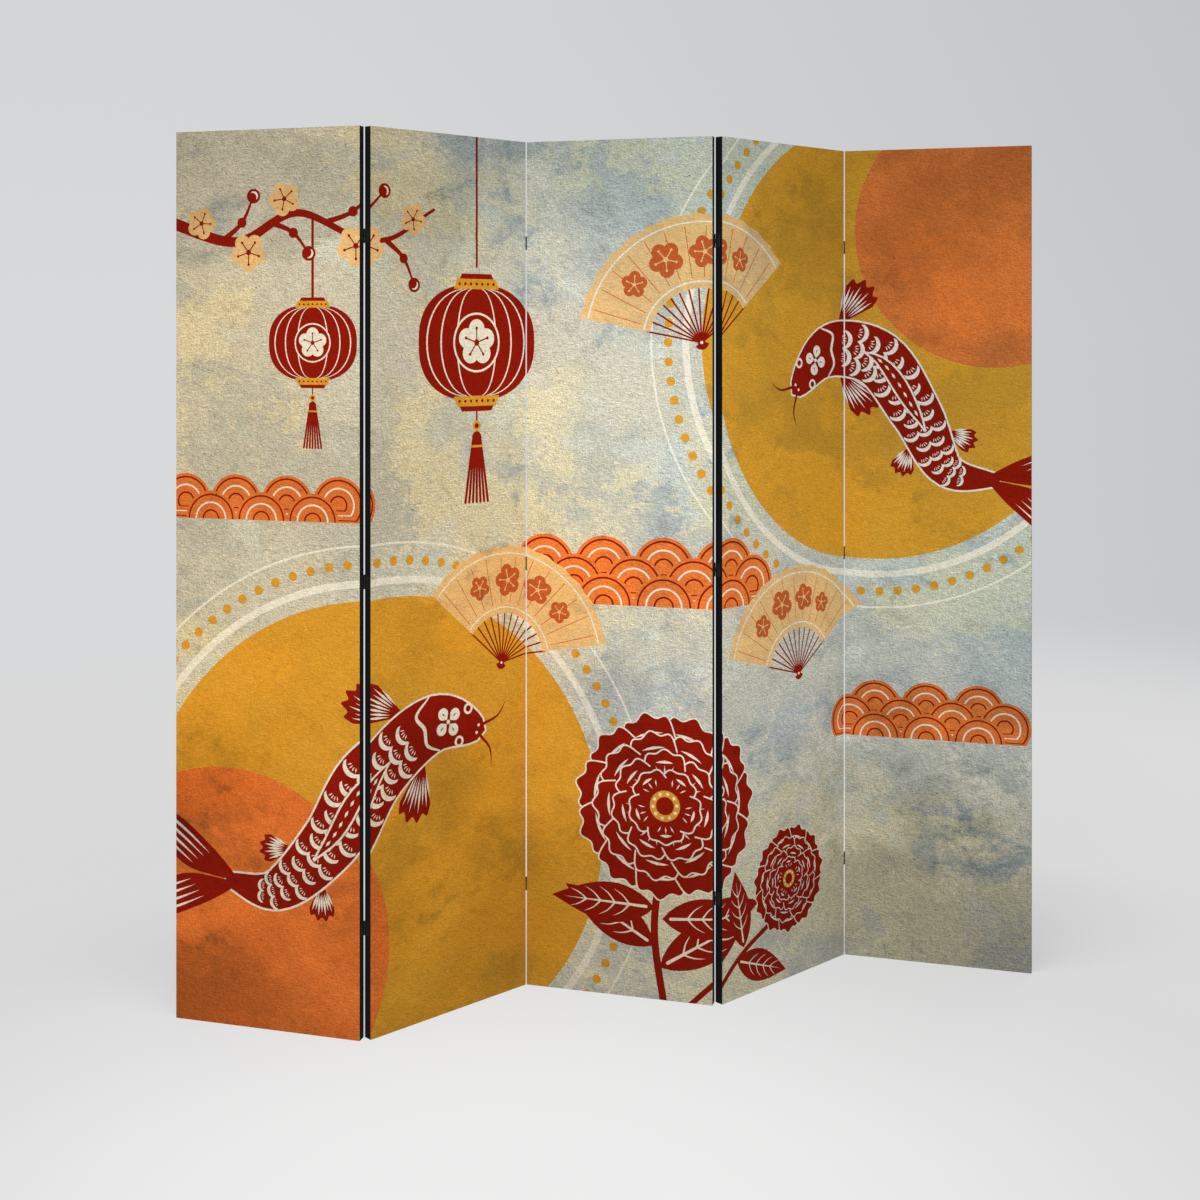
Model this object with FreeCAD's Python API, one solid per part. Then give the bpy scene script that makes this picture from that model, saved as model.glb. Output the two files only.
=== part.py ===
import FreeCAD, Part
import math
import os

# Folding screen of five equal panels that stand on the floor in a zigzag.
# Each panel is a flat wooden frame with a printed sheet over its front, a black cloth
# over its back and black strips on its four edges. Three small butt hinges join each
# panel to the next. All lengths are in millimetres and all angles in degrees.
# The screen runs along X, its printed side looks to -Y and +Z is up. The origin is on
# the floor, under the middle of the standing screen's outline.

# The whole screen
panel_count = 5
panel_width = 360.0
panel_height = 1600.0
rest_fold_angle = 120.0

# Cloth and paper layers of a panel
print_thickness = 0.5
back_cloth_thickness = 0.5
edge_strip_thickness = 0.5

# Wooden frame of a panel
batten_depth = 16.0
stile_width = 28.0
end_rail_width = 28.0
middle_rail_width = 28.0

# Staples that hold the back cloth
staple_crown_length = 10.0
staple_wire_width = 0.9
staple_wire_thickness = 0.5
staple_leg_length = 5.0
staple_slot_clearance = 0.1
staple_corner_inset = 60.0
stile_staple_pitch = 148.0
rail_staple_pitch = 120.0

# Butt hinges, with two knuckles on the left leaf and one between them on the right leaf
hinges_per_fold = 3
knuckles_per_hinge = 3
hinge_end_inset = 192.0
leaf_height = 25.0
leaf_reach = 12.0
leaf_thickness = 0.8
leaf_face_gap = 0.5
leaf_notch_clearance = 0.3
knuckle_side_clearance = 0.15
knuckle_end_gap = 0.2
closed_face_clearance = 0.15
pin_radius = 0.45
pin_clearance = 0.05
pin_head_radius = 0.85
pin_head_height = 0.4

# Countersunk screws of the hinges
screws_per_leaf = 2
screw_end_inset = 5.0
screw_length = 12.0
screw_tip_length = 2.5
screw_shank_radius = 1.0
screw_head_radius = 1.9
screw_head_depth = 0.7
screw_hole_clearance = 0.1
recess_length = 2.2
recess_width = 0.5
recess_depth = 0.5

# Overrun of every cutting tool past the face that it opens
cut_overrun = 1.0

# Sizes that follow from the ones above
panel_depth = print_thickness + batten_depth + back_cloth_thickness
batten_front = print_thickness
batten_back = print_thickness + batten_depth
frame_left = edge_strip_thickness
frame_right = panel_width - edge_strip_thickness
frame_bottom = edge_strip_thickness
frame_top = panel_height - edge_strip_thickness
opening_left = frame_left + stile_width
opening_right = frame_right - stile_width
panel_gap = 2 * leaf_thickness + leaf_face_gap
half_gap = panel_gap / 2
half_turn = (180.0 - rest_fold_angle) / 2
axis_offset = staple_wire_thickness + closed_face_clearance
knuckle_radius = half_gap - knuckle_side_clearance
bore_radius = pin_radius + pin_clearance
knuckle_height = (leaf_height - (knuckles_per_hinge - 1) * knuckle_end_gap) / knuckles_per_hinge
plate_edge_distance = knuckle_radius + leaf_notch_clearance
screw_axis_distance = (leaf_reach + plate_edge_distance) / 2

UP = FreeCAD.Vector(0, 0, 1)


def box(x0, x1, y0, y1, z0, z1):
    """Box between two corners."""
    return Part.makeBox(x1 - x0, y1 - y0, z1 - z0, FreeCAD.Vector(x0, y0, z0))


def upright_cylinder(radius, x, y, z0, z1):
    """Cylinder along Z between two heights."""
    return Part.makeCylinder(radius, z1 - z0, FreeCAD.Vector(x, y, z0), UP)


def spread(first, last, pitch):
    """Places from first to last, evenly spaced, with a spacing close to pitch."""
    steps = max(1, round((last - first) / pitch))
    return [first + (last - first) * step / steps for step in range(steps + 1)]


def hinge_heights():
    """Heights of the hinge centres, evenly spaced between the two end hinges."""
    first = hinge_end_inset
    last = panel_height - hinge_end_inset
    return [first + (last - first) * step / (hinges_per_fold - 1) for step in range(hinges_per_fold)]


def folds_at_back(fold):
    """True where the fold's ridge points forward, so that it turns on the back corners."""
    return fold % 2 == 0


def axis_depth(fold):
    """Depth of a fold's hinge axis behind the print, on the outside of the face it turns on."""
    return panel_depth + axis_offset if folds_at_back(fold) else -axis_offset


def heading(panel):
    """Angle of a panel's width from the X axis, seen from above."""
    return -half_turn if panel % 2 == 0 else half_turn


def panel_placements():
    """Placement of each panel's lower front left corner, and the hinge axes between them."""
    corner = FreeCAD.Vector(0, 0, 0)
    placements = []
    axes = []
    for panel in range(panel_count):
        place = FreeCAD.Placement(corner, FreeCAD.Rotation(UP, heading(panel)))
        placements.append(place)
        if panel < panel_count - 1:
            depth = axis_depth(panel)
            axis = place.multVec(FreeCAD.Vector(panel_width + half_gap, depth, 0))
            axes.append(axis)
            turn = FreeCAD.Rotation(UP, heading(panel + 1))
            corner = axis - turn.multVec(FreeCAD.Vector(-half_gap, depth, 0))
    outline = [place.multVec(FreeCAD.Vector(x, y, 0))
               for place in placements for x in (0, panel_width) for y in (0, panel_depth)]
    xs = [point.x for point in outline]
    ys = [point.y for point in outline]
    middle = FreeCAD.Vector((min(xs) + max(xs)) / 2, (min(ys) + max(ys)) / 2, 0)
    centred = [FreeCAD.Placement(place.Base - middle, place.Rotation) for place in placements]
    return centred, [axis - middle for axis in axes]


def staple_spots():
    """Staples of one panel: centre across, centre up, and whether the crown stands upright."""
    left = frame_left + stile_width / 2
    right = frame_right - stile_width / 2
    low = frame_bottom + end_rail_width / 2
    high = frame_top - end_rail_width / 2
    spots = []
    for z in spread(staple_corner_inset, panel_height - staple_corner_inset, stile_staple_pitch):
        spots.append((left, z, True))
        spots.append((right, z, True))
    for x in spread(staple_corner_inset, panel_width - staple_corner_inset, rail_staple_pitch):
        spots.append((x, low, False))
        spots.append((x, high, False))
    return spots


def staple_bar(spot, along0, along1, y0, y1, grow=0):
    """Bar of staple wire that lies along the crown's direction between two offsets."""
    x, z, upright = spot
    side = staple_wire_width / 2 + grow
    if upright:
        return box(x - side, x + side, y0, y1, z + along0 - grow, z + along1 + grow)
    return box(x + along0 - grow, x + along1 + grow, y0, y1, z - side, z + side)


def staple(spot):
    """Staple with its crown flat on the back cloth and both legs driven into the batten."""
    half = staple_crown_length / 2
    surface = panel_depth
    tip = surface - staple_leg_length
    crown = staple_bar(spot, -half, half, surface, surface + staple_wire_thickness)
    first = staple_bar(spot, -half, -half + staple_wire_thickness, tip, surface)
    second = staple_bar(spot, half - staple_wire_thickness, half, tip, surface)
    return crown.fuse([first, second]).removeSplitter()


def staple_slots():
    """Slots that the staples' legs make in the back cloth and the battens."""
    half = staple_crown_length / 2
    bottom = panel_depth - staple_leg_length - staple_slot_clearance
    top = panel_depth + cut_overrun
    slots = []
    for spot in staple_spots():
        for start in (-half, half - staple_wire_thickness):
            slots.append(staple_bar(spot, start, start + staple_wire_thickness, bottom, top,
                                    staple_slot_clearance))
    return slots


def screw_heights(hinge_height):
    """Heights of a leaf's screws."""
    first = hinge_height - leaf_height / 2 + screw_end_inset
    last = hinge_height + leaf_height / 2 - screw_end_inset
    return [first + (last - first) * step / (screws_per_leaf - 1) for step in range(screws_per_leaf)]


def panel_screws(panel):
    """Screws of one panel: face they enter, direction into the wood, depth and height."""
    screws = []
    for fold, face, inward in ((panel - 1, 0, 1), (panel, panel_width, -1)):
        if 0 <= fold < panel_count - 1:
            sign = -1 if folds_at_back(fold) else 1
            depth = axis_depth(fold) + sign * screw_axis_distance
            for hinge_height in hinge_heights():
                for height in screw_heights(hinge_height):
                    screws.append((face, inward, depth, height))
    return screws


def screw(face, inward, depth, height):
    """Countersunk wood screw with a pointed tip and a cross recess in its head."""
    outer = face - inward * leaf_thickness
    direction = FreeCAD.Vector(inward, 0, 0)
    start = FreeCAD.Vector(outer, depth, height)
    neck = start + direction * screw_head_depth
    tip = start + direction * (screw_length - screw_tip_length)
    head = Part.makeCone(screw_head_radius, screw_shank_radius, screw_head_depth, start, direction)
    shank_length = screw_length - screw_head_depth - screw_tip_length
    shank = Part.makeCylinder(screw_shank_radius, shank_length, neck, direction)
    point = Part.makeCone(screw_shank_radius, 0, screw_tip_length, tip, direction)
    body = head.fuse([shank, point]).removeSplitter()
    x0, x1 = sorted((outer - inward * cut_overrun, outer + inward * recess_depth))
    half_length = recess_length / 2
    half_width = recess_width / 2
    upright = box(x0, x1, depth - half_width, depth + half_width,
                  height - half_length, height + half_length)
    level = box(x0, x1, depth - half_length, depth + half_length,
                height - half_width, height + half_width)
    return body.cut([upright, level])


def pilot_holes(panel):
    """Holes for the screws through the edge strips and into the stiles."""
    radius = screw_shank_radius + screw_hole_clearance
    holes = []
    for face, inward, depth, height in panel_screws(panel):
        start = FreeCAD.Vector(face - inward * cut_overrun, depth, height)
        length = cut_overrun + screw_length - leaf_thickness + screw_hole_clearance
        holes.append(Part.makeCylinder(radius, length, start, FreeCAD.Vector(inward, 0, 0)))
    return holes


def leaf(fold, hinge_height, left):
    """Hinge leaf on the panel left or right of a fold, in that panel's own place."""
    sign = -1 if folds_at_back(fold) else 1
    depth = axis_depth(fold)
    axis_x = panel_width + half_gap if left else -half_gap
    plate_x = (panel_width, panel_width + leaf_thickness) if left else (-leaf_thickness, 0)
    low = hinge_height - leaf_height / 2
    high = hinge_height + leaf_height / 2
    middle_low = hinge_height - knuckle_height / 2
    middle_high = hinge_height + knuckle_height / 2
    spans = [(low, low + knuckle_height), (high - knuckle_height, high)] if left else [
        (middle_low, middle_high)]
    far, near = depth + sign * leaf_reach, depth + sign * plate_edge_distance
    y0, y1 = sorted((far, near))
    pieces = []
    for z0, z1 in spans:
        n0, n1 = sorted((near, depth))
        pieces.append(box(plate_x[0], plate_x[1], n0, n1, z0, z1))
        pieces.append(upright_cylinder(knuckle_radius, axis_x, depth, z0, z1))
    body = box(plate_x[0], plate_x[1], y0, y1, low, high).fuse(pieces).removeSplitter()
    cuts = [upright_cylinder(bore_radius, axis_x, depth, low - cut_overrun, high + cut_overrun)]
    face = panel_width if left else 0
    inward = -1 if left else 1
    outer = face - inward * leaf_thickness
    direction = FreeCAD.Vector(inward, 0, 0)
    for height in screw_heights(hinge_height):
        start = FreeCAD.Vector(outer, depth + sign * screw_axis_distance, height)
        cuts.append(Part.makeCone(screw_head_radius + screw_hole_clearance,
                                  screw_shank_radius + screw_hole_clearance,
                                  screw_head_depth, start, direction))
        cuts.append(Part.makeCylinder(screw_shank_radius + screw_hole_clearance,
                                      leaf_thickness + cut_overrun, start, direction))
    return body.cut(cuts)


def pin(fold, hinge_height):
    """Hinge pin with a flat riveted head on each end, in the left panel's own place."""
    x = panel_width + half_gap
    y = axis_depth(fold)
    low = hinge_height - leaf_height / 2
    high = hinge_height + leaf_height / 2
    shaft = upright_cylinder(pin_radius, x, y, low, high)
    foot = upright_cylinder(pin_head_radius, x, y, low - pin_head_height, low)
    head = upright_cylinder(pin_head_radius, x, y, high, high + pin_head_height)
    return shaft.fuse([foot, head]).removeSplitter()


def panel_pieces(panel):
    """The solids of one panel, each named piece as a list."""
    slots = Part.makeCompound(staple_slots())
    holes = pilot_holes(panel)
    left_stile = box(frame_left, opening_left, batten_front, batten_back, frame_bottom, frame_top)
    right_stile = box(opening_right, frame_right, batten_front, batten_back, frame_bottom, frame_top)
    low_rail = box(opening_left, opening_right, batten_front, batten_back,
                   frame_bottom, frame_bottom + end_rail_width)
    high_rail = box(opening_left, opening_right, batten_front, batten_back,
                    frame_top - end_rail_width, frame_top)
    middle_low = (panel_height - middle_rail_width) / 2
    middle_rail = box(opening_left, opening_right, batten_front, batten_back,
                      middle_low, middle_low + middle_rail_width)
    print_sheet = box(0, panel_width, 0, print_thickness, 0, panel_height)
    back_cloth = box(0, panel_width, batten_back, panel_depth, 0, panel_height)
    left_strip = box(0, frame_left, batten_front, batten_back, 0, panel_height)
    right_strip = box(frame_right, panel_width, batten_front, batten_back, 0, panel_height)
    low_strip = box(frame_left, frame_right, batten_front, batten_back, 0, frame_bottom)
    high_strip = box(frame_left, frame_right, batten_front, batten_back, frame_top, panel_height)
    return {
        "stile_left": [left_stile.cut(holes + [slots])],
        "stile_right": [right_stile.cut(holes + [slots])],
        "end_rails": [low_rail.cut(slots), high_rail.cut(slots)],
        "middle_rail": [middle_rail],
        "print_sheet": [print_sheet],
        "back_cloth": [back_cloth.cut(slots)],
        "edge_strips": [left_strip.cut(holes), right_strip.cut(holes), low_strip, high_strip],
        "staples": [staple(spot) for spot in staple_spots()],
        "screws": [screw(*values) for values in panel_screws(panel)],
    }


def write_piece(name, solids, place):
    """Write one named piece, moved to its place in the standing screen."""
    moved = []
    for shape in solids:
        for solid in shape.Solids:
            copy = solid.copy()
            copy.Placement = place.multiply(copy.Placement)
            moved.append(copy)
    piece = moved[0] if len(moved) == 1 else Part.makeCompound(moved)
    if not piece.isValid():
        raise ValueError(name + " is not a valid shape")
    piece.exportStep(os.path.join("parts", name + ".step"))


os.makedirs("parts", exist_ok=True)
placements, axes = panel_placements()
for panel in range(panel_count):
    for piece, solids in panel_pieces(panel).items():
        write_piece("panel_{}_{}".format(panel + 1, piece), solids, placements[panel])
for fold in range(panel_count - 1):
    label = "fold_{}_".format(fold + 1)
    heights = hinge_heights()
    write_piece(label + "leaves_left", [leaf(fold, z, True) for z in heights], placements[fold])
    write_piece(label + "leaves_right", [leaf(fold, z, False) for z in heights], placements[fold + 1])
    write_piece(label + "pins", [pin(fold, z) for z in heights], placements[fold])
    print(label + "axis", round(axes[fold].x, 4), round(axes[fold].y, 4))
for panel in range(panel_count):
    middle = placements[panel].multVec(FreeCAD.Vector(panel_width / 2, panel_depth / 2, 0))
    corner = placements[panel].Base
    print("panel", panel + 1, "corner", round(corner.x, 4), round(corner.y, 4),
          "middle", round(middle.x, 4), round(middle.y, 4), "heading", heading(panel))
print("panel depth", panel_depth, "gap", panel_gap, "axis offset", axis_offset,
      "closed gap between faces", 2 * axis_offset)
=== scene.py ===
import cmath
import math

import bmesh
import bpy
import numpy as np
from bpy.props import FloatProperty, FloatVectorProperty, PointerProperty
from mathutils import Matrix, Vector
from mathutils.geometry import delaunay_2d_cdt


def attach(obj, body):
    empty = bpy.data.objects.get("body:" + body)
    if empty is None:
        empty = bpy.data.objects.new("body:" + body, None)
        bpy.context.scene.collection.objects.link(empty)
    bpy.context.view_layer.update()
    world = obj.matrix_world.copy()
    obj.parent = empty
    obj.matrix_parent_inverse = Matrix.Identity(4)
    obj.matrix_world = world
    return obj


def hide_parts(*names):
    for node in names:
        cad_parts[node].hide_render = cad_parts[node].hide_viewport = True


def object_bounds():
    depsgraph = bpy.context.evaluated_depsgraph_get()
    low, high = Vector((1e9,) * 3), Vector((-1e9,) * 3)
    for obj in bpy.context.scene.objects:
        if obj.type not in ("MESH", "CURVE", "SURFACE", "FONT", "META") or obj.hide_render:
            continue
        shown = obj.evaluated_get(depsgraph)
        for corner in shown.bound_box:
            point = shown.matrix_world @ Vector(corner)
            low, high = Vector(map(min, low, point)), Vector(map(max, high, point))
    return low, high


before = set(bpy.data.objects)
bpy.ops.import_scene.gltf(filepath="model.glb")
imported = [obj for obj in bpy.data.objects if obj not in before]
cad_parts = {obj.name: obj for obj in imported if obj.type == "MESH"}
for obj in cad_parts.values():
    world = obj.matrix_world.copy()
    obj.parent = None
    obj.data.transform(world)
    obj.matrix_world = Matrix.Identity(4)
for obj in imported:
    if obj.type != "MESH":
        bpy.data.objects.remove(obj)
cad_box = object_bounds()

bl_info = {
    "name": "Folding Screen",
    "version": (1, 0, 0),
    "blender": (4, 5, 0),
    "location": "View3D > Sidebar > Folding Screen",
    "description": "Dresses a folding screen of printed canvas panels and sets up its studio",
    "category": "Add Mesh",
}

# The screen's panels, folds and directions, as in the CAD model
panel_numbers = (1, 2, 3, 4, 5)
fold_numbers = (1, 2, 3, 4)
zigzag_angle = math.radians(30)
upwards = Vector((0, 0, 1))

# Inks of the print. Every face of a printed sheet carries one of these numbers.
PAPER, RED, GOLD, ORANGE, APRICOT, CREAM, RUST = range(7)
ink_attribute = "ink"
sheet_map = "flat sheet"

# How far a drawn arc may leave its true curve, and how near two points count as one, in metres
curve_tolerance = 0.0001
join_tolerance = 1e-6

# The print is drawn flat. A place is a complex number: metres across, plus j times metres up. An outline
# is a list of places, and a motif is a list of inks with their outlines, from the lowest layer to the
# highest. The numbers inside a motif are shares of its own size, and angles are in degrees.


def evenly(start, end, steps):
    """Evenly spaced values or places, both ends included."""
    return [start + (end - start) * i / steps for i in range(steps + 1)]


def sides(outline):
    """Pairs of neighbouring points all round a closed outline."""
    return zip(outline, outline[1:] + outline[:1])


def polar(radius, angle):
    """Place at a distance and an angle from the origin."""
    return cmath.rect(radius, math.radians(angle))


def turned(angle):
    """Direction at an angle."""
    return polar(1, angle)


def arc(centre, radius, start, end):
    """Points along an arc, as many as the tolerance needs."""
    bend = 2 * math.degrees(math.acos(1 - curve_tolerance / radius))
    count = max(2, math.ceil(abs(end - start) / bend))
    return [centre + polar(radius, angle) for angle in evenly(start, end, count)]


def circle(centre, radius):
    return arc(centre, radius, 0, 360)[:-1]


def smooth(points, steps=8):
    """Smooth open line through the given points."""
    ends = [2 * points[0] - points[1]] + list(points) + [2 * points[-1] - points[-2]]
    line = []
    for a, b, c, d in zip(ends, ends[1:], ends[2:], ends[3:]):
        for i in range(steps):
            t = i / steps
            line.append(0.5 * (2 * b + (c - a) * t + (2 * a - 5 * b + 4 * c - d) * t * t
                               + (3 * b - a - 3 * c + d) * t ** 3))
    return line + [points[-1]]


def directions(line):
    """Unit direction at each point of a line."""
    ahead = line[1:] + line[-1:]
    behind = line[:1] + line[:-1]
    return [(b - a) / (abs(b - a) or 1) for a, b in zip(behind, ahead)]


def stroke(line, width, profile=None):
    """Outline of a line drawn with a round brush, whose width may follow a profile from 0 to 1."""
    last = len(line) - 1
    headings = directions(line)
    halves = [width / 2 * (profile(i / last) if profile else 1) for i in range(last + 1)]
    left = [point + 1j * heading * half for point, heading, half in zip(line, headings, halves)]
    right = [point - 1j * heading * half for point, heading, half in zip(line, headings, halves)]
    tip = [turned(angle) for angle in (54, 18, -18, -54)]
    end = [line[-1] + halves[-1] * headings[-1] * direction for direction in tip]
    start = [line[0] - halves[0] * headings[0] * direction for direction in tip]
    return left + end + right[::-1] + start


def closed_stroke(line, width):
    return stroke(line + line[:2], width)


def spindle(t):
    """Brush profile that swells in the middle and comes to a point at both ends."""
    return math.sin(math.pi * t)


def tail_off(t):
    """Brush profile that starts full and comes to a point."""
    return (1 - t) ** 0.7


def placed(motif, at, facing=1):
    """A motif turned to face a direction and moved to a place. A longer direction enlarges it."""
    return [(ink, [at + facing * point for point in outline]) for ink, outline in motif]


def ring(motif, count, start=0):
    """Copies of a motif, evenly turned round the origin."""
    return [layer for i in range(count) for layer in placed(motif, 0, turned(start + 360 * i / count))]


def dots(ink, distance, count, radius):
    """Evenly spaced dots on a circle round the origin."""
    return [(ink, circle(polar(distance, 360 * i / count), radius)) for i in range(count)]


def leaf(length, width):
    """Pointed leaf with a midrib and side veins."""
    def half_width(share):
        return width / 2 * math.sin(math.pi * share ** 0.8)

    edge = [complex(length * share, half_width(share)) for share in evenly(0, 1, 14)]
    motif = [(RED, edge + [point.conjugate() for point in edge[-2:0:-1]]),
             (CREAM, stroke([length * share for share in (0.08, 0.5, 0.88)], length * 0.028, tail_off))]
    for root in (0.24, 0.38, 0.52, 0.66):
        reach = half_width(root + 0.08) * 0.72
        for side in (reach, -reach):
            vein = [length * root, complex(length * (root + 0.07), side * 0.6),
                    complex(length * (root + 0.16), side)]
            motif.append((CREAM, stroke(smooth(vein, 3), length * 0.016, tail_off)))
    return motif


def petal(reach, half_angle):
    """Fan-shaped petal from the origin with a wavy tip."""
    lobes, wave, droop = 3, 0.035, 0.2
    tip = [polar(reach * (1 - droop * abs(u) ** 3 + wave * math.cos(lobes * math.pi * u)), half_angle * u)
           for u in evenly(-1, 1, 26)]
    return [complex(reach * 0.12)] + tip


def bloom(radius):
    """Peony seen from the front, cut in layers of petals."""
    motif = []
    layers = ((11, 1, 22), (9, 0.8, 25), (7, 0.6, 30), (5, 0.41, 40))
    for layer, (count, share, half_angle) in enumerate(layers):
        reach = radius * share
        outline = petal(reach, half_angle)
        rib = [polar(reach * 0.8, angle) for angle in evenly(-12, 12, 4)]
        layered = [(RED, outline), (CREAM, stroke(outline[1:], radius * 0.017)),
                   (CREAM, stroke(rib, radius * 0.032, spindle))]
        for side in (-0.6, 0, 0.6):
            ray = [polar(reach * along, half_angle * side * along) for along in (0.55, 0.65, 0.74)]
            layered.append((CREAM, stroke(ray, radius * 0.016, spindle)))
        motif += ring(layered, count, 17 * layer)
    motif += [(GOLD, circle(0, radius * 0.17)), (RED, circle(0, radius * 0.1))]
    return motif + dots(CREAM, radius * 0.135, 10, radius * 0.018)


def blossom(radius, ink=CREAM, heart=RED):
    """Small plum blossom with five round petals and stamens."""
    stamen = [(heart, stroke([radius * 0.16, radius * 0.55], radius * 0.06)),
              (heart, circle(radius * 0.6, radius * 0.07))]
    return (ring([(ink, circle(radius * 0.55, radius * 0.42))], 5, 90) + [(ink, circle(0, radius * 0.35))]
            + ring(stamen, 5, 90) + [(heart, circle(0, radius * 0.14))])


def clover(radius):
    """Four-leaved cut that decorates the carp."""
    drop = [(CREAM, [radius * 0.16] + arc(radius * 0.62, radius * 0.36, -125, 125)),
            (RED, stroke(evenly(radius * 0.42, radius * 0.74, 2), radius * 0.09, spindle))]
    return ring(drop, 4, 45) + [(CREAM, circle(0, radius * 0.13))]


def lune(radius):
    """Crescent cut."""
    spread, thickness = 74, 0.42
    outer = arc(0, radius, -spread, spread)
    inner = arc(-radius * thickness, radius * 0.98, -spread * 0.86, spread * 0.86)
    return [(CREAM, outer + inner[::-1])]


def scale(radius):
    """Crescent cut with a comb of short cuts inside it."""
    comb = [[polar(radius * share, angle) - radius * 0.5 for share in (0.46, 0.7, 0.94)]
            for angle in (-33, -11, 11, 33)]
    return lune(radius) + [(CREAM, stroke(cut, radius * 0.12, spindle)) for cut in comb]


class Carp:
    """Carp seen from above. Shares along its curved spine run from 0 at the nose to 1 at the tail."""

    def __init__(self, spine_points, girth):
        self.spine = smooth(spine_points, 14)
        self.headings = directions(self.spine)
        self.girth = girth

    def at(self, share):
        """Place on the spine and the direction there."""
        place = share * (len(self.spine) - 1)
        i = min(int(place), len(self.spine) - 2)
        return self.spine[i] + (self.spine[i + 1] - self.spine[i]) * (place - i), self.headings[i + 1]

    def half_width(self, share):
        return self.girth * (1.32 * share ** 0.5 * (1 - share) ** 0.95 + 0.1 * share)

    def beside(self, share, side):
        """Place to one side of the spine, from -1 to 1 across the body."""
        spot, heading = self.at(share)
        return spot + 1j * heading * self.half_width(share) * side

    def fins(self):
        """A large pair of side fins behind the head and a small pair near the tail."""
        motif = []
        for root, reach, sweep in ((0.27, 1.05, 48), (0.68, 0.62, 40)):
            for side in (1, -1):
                tips = []
                for i, angle in enumerate(evenly(sweep - 22, 73, 8)):
                    bulge = 0.72 + 0.3 * math.sin(math.pi * (0.15 + 0.7 * i / 8))
                    tips.append(polar(reach * bulge * (1.05 if i % 2 else 0.94), side * angle))
                fin = [(RED, [0] + smooth(tips, 4))]
                for tip in tips[1:]:
                    fin.append((CREAM, stroke([tip * 0.34, tip * 0.6, tip * 0.86], 0.042, spindle)))
                motif += placed(fin, self.beside(root, side * 0.8), self.at(root)[1] * self.girth)
        return motif

    def tail(self):
        """Forked tail with rays, over the end of the body."""
        motif = []
        for side in (1, -1):
            tip = complex(2.1, side * 0.75)
            outer = smooth([-0.3, complex(0.35, side * 0.5), complex(1.25, side * 0.95), tip])
            inner = smooth([tip, complex(1.35, side * 0.42), complex(0.75, side * 0.06), -0.1])
            motif.append((RED, outer + inner[1:]))
            last = len(outer) - 1
            for share in (0.2, 0.4, 0.6, 0.8):
                ray = [inner[int((1 - t) * last)] * (1 - share) + outer[int(t * last)] * share
                       for t in (0.3, 0.5, 0.7, 0.88)]
                motif.append((CREAM, stroke(smooth(ray, 4), 0.05, spindle)))
        end, heading = self.at(1)
        return placed(motif, end, heading * self.girth)

    def scales(self):
        """Rows of scales, two and three by turns."""
        motif = []
        rows = 15
        for row in range(rows):
            along = 0.29 + 0.6 * row / rows
            size = self.half_width(along) * 0.3 + self.girth * 0.03
            for side in (-0.62, 0, 0.62) if row % 2 else (-0.33, 0.33):
                motif += placed(scale(size), self.beside(along, side), self.at(along)[1])
        return motif

    def back_fin(self):
        """Fin along the middle of the back, with a row of short cuts."""
        along = evenly(0.36, 0.66, 10)
        ridge = [self.at(share)[0] for share in along]
        motif = [(RED, stroke(ridge, self.girth * 0.36, spindle)),
                 (CREAM, closed_stroke(stroke(ridge, self.girth * 0.3, spindle), self.girth * 0.035))]
        cut = [(CREAM, stroke(evenly(-0.07, 0.07, 2), 0.05, spindle))]
        for share in along[2:-2]:
            spot, heading = self.at(share)
            motif += placed(cut, spot, heading * self.girth)
        return motif

    def head(self):
        """Gill covers, a mark between them, eyes, nostrils and whiskers."""
        gill_points = ((0.2, 0.98), (0.245, 0.55), (0.235, 0), (0.245, -0.55), (0.2, -0.98))
        gill = smooth([self.beside(*point) for point in gill_points])
        motif = [(CREAM, stroke(gill, self.girth * 0.07, lambda t: 0.4 + 0.6 * spindle(t)))]
        motif += placed(clover(self.girth * 0.3), *self.at(0.145))
        for side in (1, -1):
            eye, nostril = self.beside(0.085, side * 0.8), self.beside(0.03, side * 0.3)
            for ink, spot, size in ((CREAM, eye, 0.1), (RED, eye, 0.055), (CREAM, nostril, 0.028)):
                motif.append((ink, circle(spot, self.girth * size)))
            whisker = smooth([0, complex(-0.3, side * 0.2), complex(-0.42, side * 0.5)], 6)
            motif += placed([(RED, stroke(whisker, 0.06, tail_off))], self.beside(0.015, side * 0.6),
                            self.at(0)[1] * self.girth)
        return motif

    def motif(self):
        """The whole carp."""
        along = evenly(0, 1, 46)
        body = [self.beside(share, 1) for share in along] + [self.beside(share, -1) for share in along[::-1]]
        return (self.fins() + [(CREAM, closed_stroke(body, self.girth * 0.07)), (RED, body)] + self.tail()
                + self.scales() + self.back_fin() + self.head())


def tassel(width):
    """Tassel that hangs from the origin, for a lantern of the given width."""
    motif = [(RED, stroke([0, -0.16j * width], width * 0.014))]
    for ink, drop, radius in ((GOLD, 0.1, 0.036), (RED, 0.1, 0.018), (RED, 0.18, 0.042)):
        motif.append((ink, circle(-1j * drop * width, radius * width)))
    for lean in evenly(-0.066, 0.066, 6):
        strand = [complex(lean * share, -drop) * width for share, drop in ((0.5, 0.2), (1, 0.4), (1.5, 0.62))]
        motif.append((RED, stroke(strand, width * 0.021)))
    return motif + [(GOLD, stroke([(-0.05 - 0.24j) * width, (0.05 - 0.24j) * width], width * 0.016))]


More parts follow.
